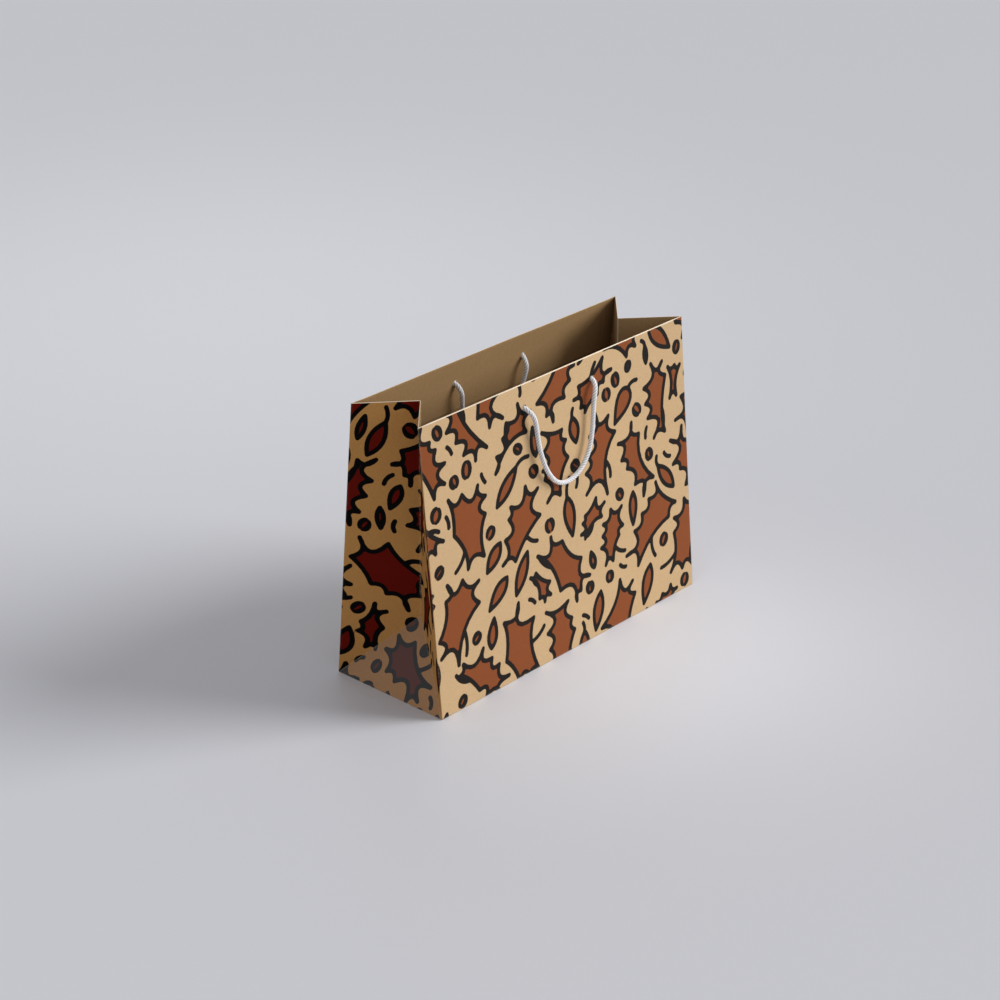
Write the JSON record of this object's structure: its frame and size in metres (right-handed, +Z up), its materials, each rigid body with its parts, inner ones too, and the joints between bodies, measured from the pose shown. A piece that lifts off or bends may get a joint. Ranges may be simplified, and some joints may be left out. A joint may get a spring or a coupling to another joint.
{
  "type": "gift bag",
  "caption": "Landscape paper gift bag with folded side gussets, turned-over mouth, base board and two knotted rope handles, printed with a leaf pattern.",
  "frame": {"origin": "middle of the base, on the surface it stands on", "axes": "+Z up; front wall faces -Y; +X to the right of a person looking at the front"},
  "size_m": [0.32, 0.117, 0.245],
  "materials": {
    "printed_paper": "gloss laminate over an all-over leaf print in tan, rust and near black",
    "kraft_lining": "matte uncoated kraft",
    "grey_board": "matte grey board",
    "white_rope": "soft twisted white cord"
  },
  "bodies": {
    "base": {"bottom_flap_front": "printed_paper", "bottom_flap_back": "printed_paper", "bottom_flap_left": "printed_paper", "bottom_flap_right": "printed_paper", "base_board": "grey_board"},
    "front_wall": {"front_panel": "printed_paper", "front_top_hem": "kraft_lining", "front_top_card": "grey_board", "front_left_knot": "white_rope", "front_right_knot": "white_rope"},
    "back_wall": {"back_panel": "printed_paper", "back_top_hem": "kraft_lining", "back_top_card": "grey_board", "side_seam_flap": "kraft_lining", "back_left_knot": "white_rope", "back_right_knot": "white_rope"},
    "left_front_gusset": {"left_gusset_front_half": "printed_paper", "left_hem_front_half": "kraft_lining"},
    "left_back_gusset": {"left_gusset_back_half": "printed_paper", "left_hem_back_half": "kraft_lining"},
    "right_front_gusset": {"right_gusset_front_half": "printed_paper", "right_hem_front_half": "kraft_lining"},
    "right_back_gusset": {"right_gusset_back_half": "printed_paper", "right_hem_back_half": "kraft_lining"},
    "left_base_fold": {"left_base_fold": "printed_paper"},
    "right_base_fold": {"right_base_fold": "printed_paper"},
    "front_handle": {"front_handle_rope": "white_rope"},
    "back_handle": {"back_handle_rope": "white_rope"}
  },
  "joints": [
    {"name": "front_wall_lean", "type": "hinge", "parent": "base", "child": "front_wall", "pos_m": [0, -0.0585, 0], "axis": [-1, 0, 0], "range_deg": [0, 5], "stiffness_Nm_per_rad": 0.3, "springref_deg": -1.09},
    {"name": "back_wall_lean", "type": "hinge", "parent": "base", "child": "back_wall", "pos_m": [0, 0.0585, 0], "axis": [1, 0, 0], "range_deg": [0, 5], "stiffness_Nm_per_rad": 0.3, "springref_deg": -1.09},
    {"name": "left_front_gusset_fold", "type": "hinge", "parent": "front_wall", "child": "left_front_gusset", "pos_m": [-0.16, -0.0585, 0], "axis": [0, -0.0915, -0.9958], "range_deg": [0, 34]},
    {"name": "left_back_gusset_fold", "type": "hinge", "parent": "back_wall", "child": "left_back_gusset", "pos_m": [-0.16, 0.0585, 0], "axis": [0, -0.0915, 0.9958], "range_deg": [0, 34]},
    {"name": "right_front_gusset_fold", "type": "hinge", "parent": "front_wall", "child": "right_front_gusset", "pos_m": [0.16, -0.0585, 0], "axis": [0, 0.0915, 0.9958], "range_deg": [0, 34]},
    {"name": "right_back_gusset_fold", "type": "hinge", "parent": "back_wall", "child": "right_back_gusset", "pos_m": [0.16, 0.0585, 0], "axis": [0, 0.0915, -0.9958], "range_deg": [0, 34]},
    {"name": "left_base_fold_tilt", "type": "hinge", "parent": "base", "child": "left_base_fold", "pos_m": [-0.16, 0, 0], "axis": [0, 1, 0], "range_deg": [0, 6.5]},
    {"name": "right_base_fold_tilt", "type": "hinge", "parent": "base", "child": "right_base_fold", "pos_m": [0.16, 0, 0], "axis": [0, -1, 0], "range_deg": [0, 6.5]},
    {"name": "front_handle_swing", "type": "hinge", "parent": "front_wall", "child": "front_handle", "pos_m": [0, -0.04288, 0.22474], "axis": [-1, 0, 0], "range_deg": [0, 175], "deforming": ["front_handle_rope"]},
    {"name": "back_handle_swing", "type": "hinge", "parent": "back_wall", "child": "back_handle", "pos_m": [0, 0.03184, 0.22373], "axis": [-1, 0, 0], "range_deg": [0, 175], "deforming": ["back_handle_rope"]}
  ],
  "couplings": [
    {"joint": "back_wall_lean", "follows": "front_wall_lean", "ratio": 1},
    {"joint": "left_front_gusset_fold", "follows": "front_wall_lean", "ratio": 6.72},
    {"joint": "left_back_gusset_fold", "follows": "front_wall_lean", "ratio": 6.72},
    {"joint": "right_front_gusset_fold", "follows": "front_wall_lean", "ratio": 6.72},
    {"joint": "right_back_gusset_fold", "follows": "front_wall_lean", "ratio": 6.72},
    {"joint": "left_base_fold_tilt", "follows": "front_wall_lean", "ratio": 1.23},
    {"joint": "right_base_fold_tilt", "follows": "front_wall_lean", "ratio": 1.23}
  ]
}
